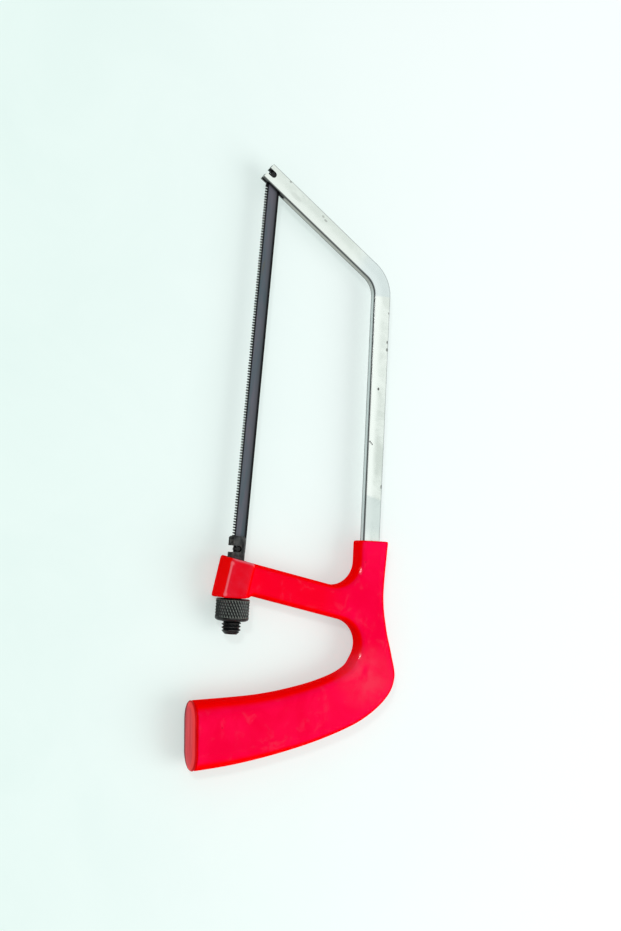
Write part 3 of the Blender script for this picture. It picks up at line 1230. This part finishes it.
link_surface(tree, shader, colour, texture["Roughness"], ripple, strength=0.12, depth=0.0003)
fix(handle, "frame", "handle", red)

# %% [markdown]
# The end cap
#
# A paler, satin plug closes the butt, with a fine dark groove between the two. It is a row of ovals: plug,
# short flange and a face that domes up from its rim. A scaled copy of the butt's lid would be flat and have
# no plug behind it. The ovals run from the face to the plug, because the order decides which side of the
# skin is outside. Each ring also says how far it belongs to the face, which the finish needs.

# %% Shape the cap
CAP_FLANGE, CAP_SPIGOT, OVAL_STEPS = 1.1, 7.0, 16
CAP_GROOVE, CAP_DROP, CAP_DOME, CAP_INSET = 0.12, 0.85, 0.45, 0.08
CAP_LIP = ((0.0, 0.25), (0.1, CAP_INSET))
CAP_ROLL = ((0.0, CAP_INSET, 0.0), (0.32, 0.4, 0.12), (0.62, 1.0, 0.3), (0.87, 1.8, 0.6), (1.07, 2.8, 0.85),
            (1.22, 4.2, 1.0), (CAP_DROP + CAP_DOME, 6.0, 1.0))
cap_rim = FIT_GAP + CAP_FLANGE - CAP_DROP
cap_profile = [(out, CORE_WALL + SLIDE_GAP, 0.0) for out in (-CAP_SPIGOT, CAP_GROOVE)]
cap_profile += [(CAP_GROOVE + out, inset, 0.0) for out, inset in CAP_LIP]
cap_profile += [(cap_rim + out, inset, share) for out, inset, share in CAP_ROLL]
cap_rings = [butt_oval(out, inset, OVAL_STEPS) for out, inset, _ in reversed(cap_profile)]
cap = make_piece("end_cap_plug", *skin_rings(cap_rings))
shade(cap, crease_degrees=50)
layer = cap.data.attributes.new("on_face", "FLOAT", "POINT")
face_shares = [share for _, _, share in reversed(cap_profile)]
layer.data.foreach_set("value", np.repeat(face_shares, len(cap_rings[0])))
print("cap stands", round(cap_profile[-1][0], 2), "mm out of the butt")

# %% [markdown]
# Satin plug plastic
#
# The cap's face is a duller, salmon red with faint streaks from its mould along its length. Towards the rim
# it turns coral and then deep red, and the rim's lower side is grimy. A noise pattern that is stretched one
# way gives the streaks, in colour and as very fine relief.

# %% Cap finish
salmon, tree, shader, place = start_material("satin_cap", IOR=1.45, Specular_IOR_Level=0.05, Coat_Weight=0.03,
                                             Coat_Roughness=0.1)
streak_place = add_node(tree, "ShaderNodeMapping", Vector=place, Scale=(60.0, 200.0, 900.0)).outputs["Vector"]
streaks = add_node(tree, "ShaderNodeTexNoise", Vector=streak_place, Scale=1.0, Detail=3.0).outputs["Fac"]
streak_mask = ramp(tree, streaks, 0.35, 0.68)
on_face = attribute(tree, "on_face")
face = blend_colour(tree, streak_mask, (0.76, 0.045, 0.065), (0.9, 0.075, 0.09))
cloudy = use_group(tree, blotches, Place=place, Scale=150.0, Low=0.35, High=0.7)["Mask"]
rim = blend_colour(tree, cloudy, (0.6, 0.0, 0.002), (0.72, 0.001, 0.006))
colour = blend_colour(tree, ramp(tree, on_face, 0.05, 0.25), rim, (1.0, 0.06, 0.065))
colour = blend_colour(tree, ramp(tree, on_face, 0.5, 0.85), colour, face)
grime = ramp(tree, facing_up(tree), -0.02, -0.1)
colour = stain(tree, colour, grime, (0.16, 0.0, 0.008), strength=0.85)
texture = use_group(tree, grain, Place=place, Scale=1600.0, Base_Roughness=0.45, Spread=0.15)
link_surface(tree, shader, colour, texture["Roughness"], streaks, strength=0.15, depth=0.00008)
fix(cap, "frame", "end_cap", salmon)

# %% [markdown]
# Table and room
#
# The saw lies on a pale, faintly minty table that whitens to one side. Rays that go straight to the camera
# or bounce off shiny metal see a bright room and a table that partly glows, while the light that falls on
# things is kept lower, so that the plastic keeps its colour and the shadow stays faint. One side of the
# room is darker near the floor, so that the bright metal has something dark to mirror.


# %% Rays that see the room
def seen_rays(tree):
    """1 for rays to the camera, off shiny surfaces or through clear ones."""
    path = tree.nodes.new("ShaderNodeLightPath").outputs
    seen = calculate(tree, "ADD", path["Is Camera Ray"], path["Is Glossy Ray"])
    return calculate(tree, "ADD", seen, path["Is Transmission Ray"])


def mix_shaders(tree, share, first, second):
    """Shader between two others."""
    node = tree.nodes.new("ShaderNodeMixShader")
    for socket, output in zip(node.inputs, (share, first, second)):
        tree.links.new(output, socket)
    return node.outputs["Shader"]


# %% Table
TABLE_HALF, TABLE_DROP, WHITE_REACH, GLOW_SHARE = 3.0, 0.0002, 0.16, 0.48
table_mesh = bpy.data.meshes.new("table_top")
table_mesh.from_pydata([(-TABLE_HALF, -TABLE_HALF, 0), (TABLE_HALF, -TABLE_HALF, 0),
                        (TABLE_HALF, TABLE_HALF, 0), (-TABLE_HALF, TABLE_HALF, 0)], [], [(0, 1, 2, 3)])
table = bpy.data.objects.new("table_top", table_mesh)
bpy.context.scene.collection.objects.link(table)
table.location.z = -TABLE_DROP
tabletop, tree, shader, place = start_material("pale_table", Roughness=0.7, Specular_IOR_Level=0.1)
cloudy = use_group(tree, blotches, Place=place, Scale=18.0, Low=0.3, High=0.7)["Mask"]
teeth_side = add_node(tree, "ShaderNodeSeparateXYZ", Vector=place).outputs["Y"]
minty = blend_colour(tree, cloudy, (0.785, 0.925, 0.88), (0.81, 0.945, 0.9))
table_colour = stain(tree, minty, ramp(tree, teeth_side, WHITE_REACH, -WHITE_REACH), (0.93, 0.98, 0.975))
tree.links.new(table_colour, shader.inputs["Base Color"])
glow = add_node(tree, "ShaderNodeEmission", Color=table_colour, Strength=1.0).outputs["Emission"]
glow_share = calculate(tree, "MULTIPLY", seen_rays(tree), GLOW_SHARE)
lit_table = mix_shaders(tree, glow_share, shader.outputs["BSDF"], glow)
tree.links.new(lit_table, tree.nodes["Material Output"].inputs["Surface"])
table_mesh.materials.append(tabletop)
print("table reaches", TABLE_HALF, "m each way")

# %% Room
world = bpy.data.worlds.new("pale_room")
bpy.context.scene.world = world
world.use_nodes = True
tree = world.node_tree
tree.nodes.clear()
direction = tree.nodes.new("ShaderNodeTexCoord").outputs["Generated"]
axes = add_node(tree, "ShaderNodeSeparateXYZ", Vector=direction).outputs
towards_teeth = ramp(tree, axes["Y"], 0.1, 0.85)
low_down = ramp(tree, axes["Z"], 0.75, 0.1)
dark_side = calculate(tree, "MULTIPLY", towards_teeth, low_down)
room_colour = blend_colour(tree, dark_side, (0.97, 1.0, 0.99), (0.1, 0.11, 0.115))
shown = add_node(tree, "ShaderNodeBackground", Color=room_colour, Strength=1.0).outputs["Background"]
falling = add_node(tree, "ShaderNodeBackground", Color=(0.96, 1.0, 1.0, 1.0), Strength=0.57)
room = mix_shaders(tree, seen_rays(tree), falling.outputs["Background"], shown)
tree.links.new(room, tree.nodes.new("ShaderNodeOutputWorld").inputs["Surface"])
print("room:", world.name)

# %% [markdown]
# Lamps
#
# A large soft lamp on the bar's side of the saw throws the faint shadows towards the teeth. It is kept out
# of the metal's reflections, which then show the plain room. A small, weaker lamp on the teeth's side fills
# the shadows a little and makes the glints on the two polished places. Sun lamps would be simpler, but their
# shadows have hard edges.


# %% Hang the lamps
def hang_lamp(name, place, size, power, mirrored):
    """Square soft lamp that points at the middle of the table and is mirrored in shiny surfaces or not."""
    data = bpy.data.lights.new(name, "AREA")
    data.size = size
    data.energy = power
    lamp = bpy.data.objects.new(name, data)
    bpy.context.scene.collection.objects.link(lamp)
    lamp.location = place
    lamp.rotation_euler = (-Vector(place)).to_track_quat("-Z", "Y").to_euler()
    lamp.visible_glossy = mirrored
    print(name, "gives", power, "W")


hang_lamp("side_lamp", (-0.35, -0.75, 0.75), size=0.9, power=8.0, mirrored=False)
hang_lamp("glint_lamp", (0.33, 0.56, 1.05), size=0.12, power=2.8, mirrored=True)

# %% [markdown]
# Camera
#
# The view looks down on the flat saw from a little over half a metre, leaning about twenty degrees to the
# teeth's side, with the tip pointing up the picture. Aiming by a direction and an up direction fixes the
# roll as well, which a Track To constraint would leave to chance.

# %% Set the camera
LONG_SIDE_PIXELS, FOCAL_PIXELS, SENSOR, CLIP_START = 931, 1420.0, 36.0, 0.01
CAMERA_PLACE = (-7.75, 175.74, 513.89)
CAMERA_LOOKS, CAMERA_UP = (0.07629, -0.36740, -0.92693), (0.99483, 0.09048, 0.04602)
looking = Vector(CAMERA_LOOKS).normalized()
sideways = looking.cross(Vector(CAMERA_UP)).normalized()
upward = sideways.cross(looking)
camera_data = bpy.data.cameras.new("camera")
camera_data.sensor_width = SENSOR
camera_data.lens = FOCAL_PIXELS / LONG_SIDE_PIXELS * SENSOR
camera_data.clip_start = CLIP_START
camera = bpy.data.objects.new("camera", camera_data)
bpy.context.scene.collection.objects.link(camera)
turned = Matrix((sideways, upward, -looking)).transposed().to_4x4()
camera.matrix_world = Matrix.Translation(at(*CAMERA_PLACE)) @ turned
bpy.context.scene.camera = camera
bpy.context.scene.view_settings.view_transform = "Standard"
print("camera", round(CAMERA_PLACE[2]), "mm above the blade, lens", round(camera_data.lens, 1), "mm")
